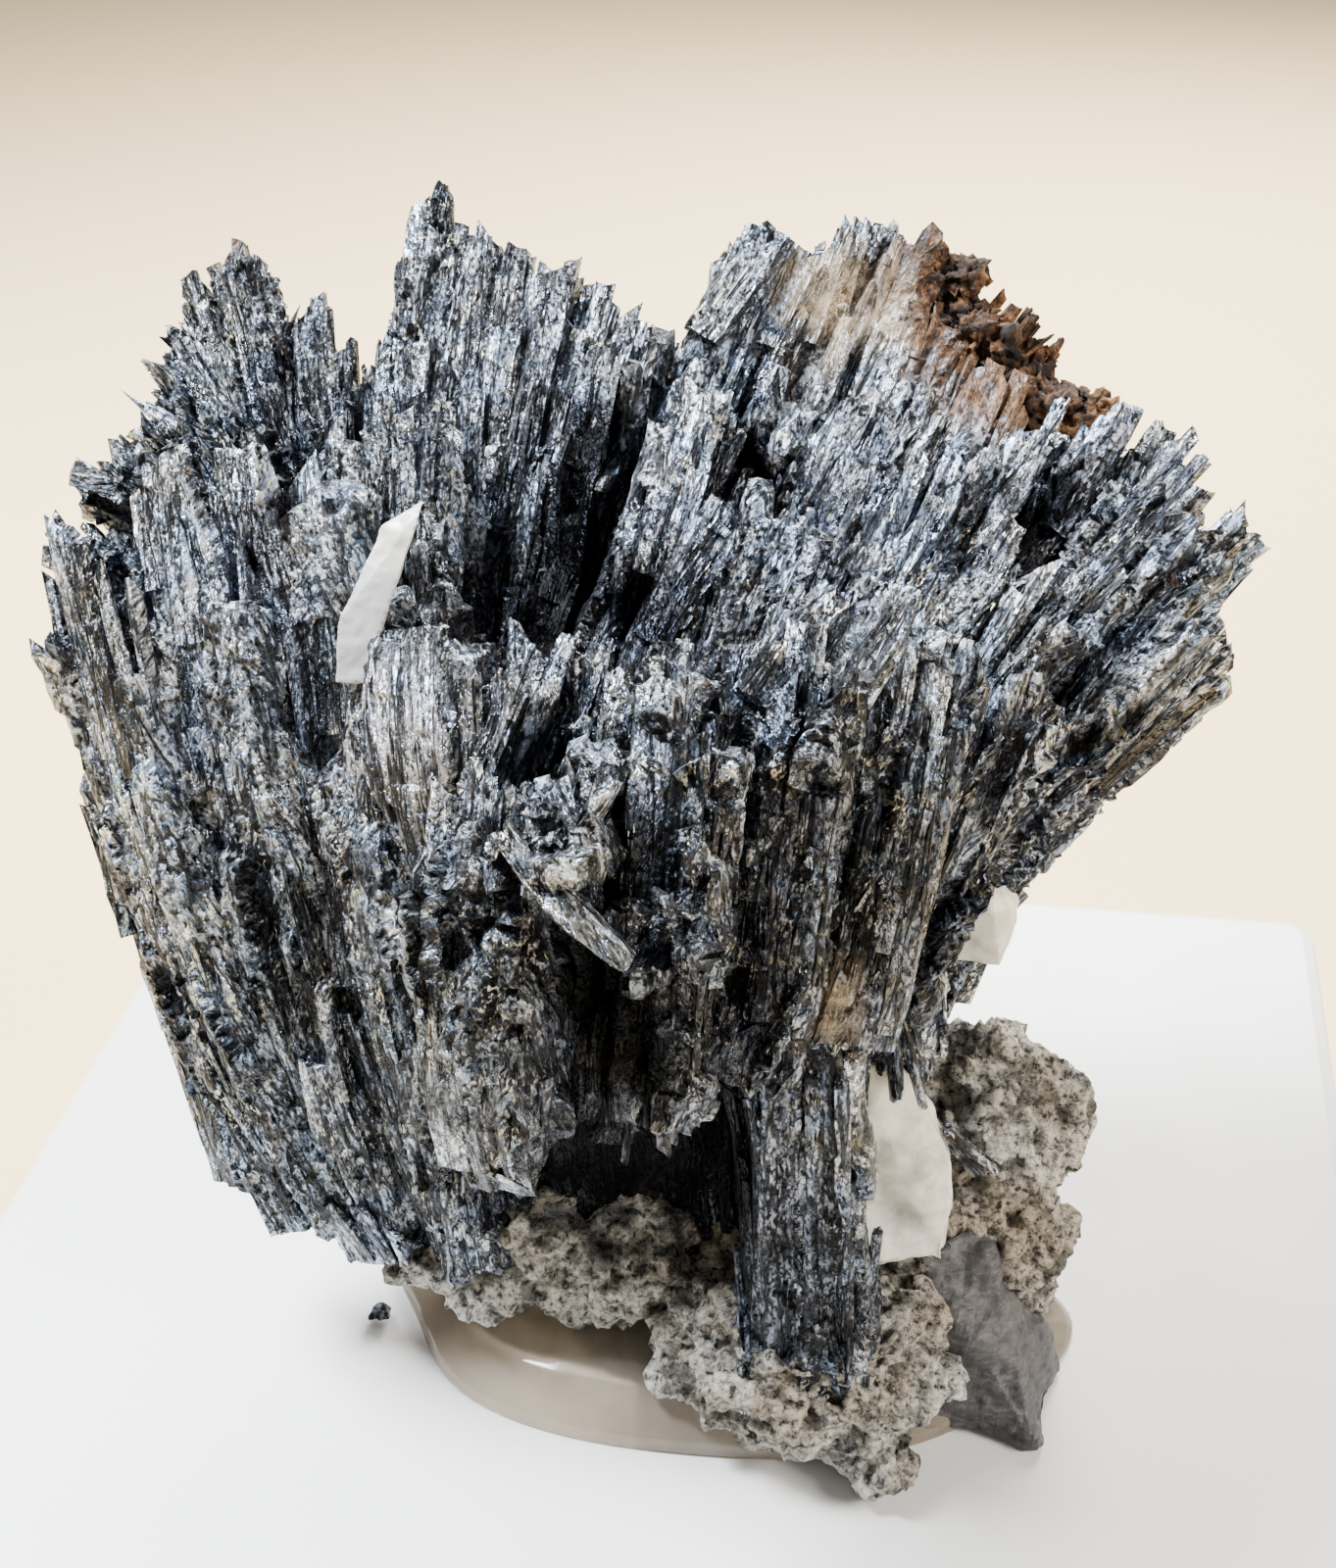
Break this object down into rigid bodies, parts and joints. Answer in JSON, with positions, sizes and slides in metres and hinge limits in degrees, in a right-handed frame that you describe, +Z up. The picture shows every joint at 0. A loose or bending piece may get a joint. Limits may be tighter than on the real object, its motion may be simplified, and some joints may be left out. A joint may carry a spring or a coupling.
{
  "type": "stibnite specimen",
  "caption": "Mushroom-shaped fan of lead-grey stibnite blades on pale matrix with calcite and rust, glued to a white display block.",
  "frame": {"origin": "centre of the display block's underside", "axes": "+Z up, -Y is the front, +X to the viewer's right"},
  "size_m": [0.1, 0.1, 0.0874],
  "materials": {
    "block": "satin white acrylic",
    "adhesive": "clear glue, slightly milky",
    "matrix": "crusty altered rock, tan to pale grey",
    "grey_rock": "smooth grey rock",
    "stibnite": "striated lead-grey crystal, bluish metallic lustre",
    "calcite": "white glassy crystal",
    "iron_oxide": "rusty brown crust"
  },
  "bodies": {
    "root": {"display_block": "block", "adhesive_pad": "adhesive", "matrix_rock": "matrix", "smooth_grey_rock": "grey_rock", "stibnite_crystals": "stibnite", "calcite_blade": "calcite", "calcite_side_crystal": "calcite", "calcite_neck_crystal": "calcite", "iron_oxide_crust": "iron_oxide", "stibnite_crumb": "stibnite"}
  },
  "joints": []
}
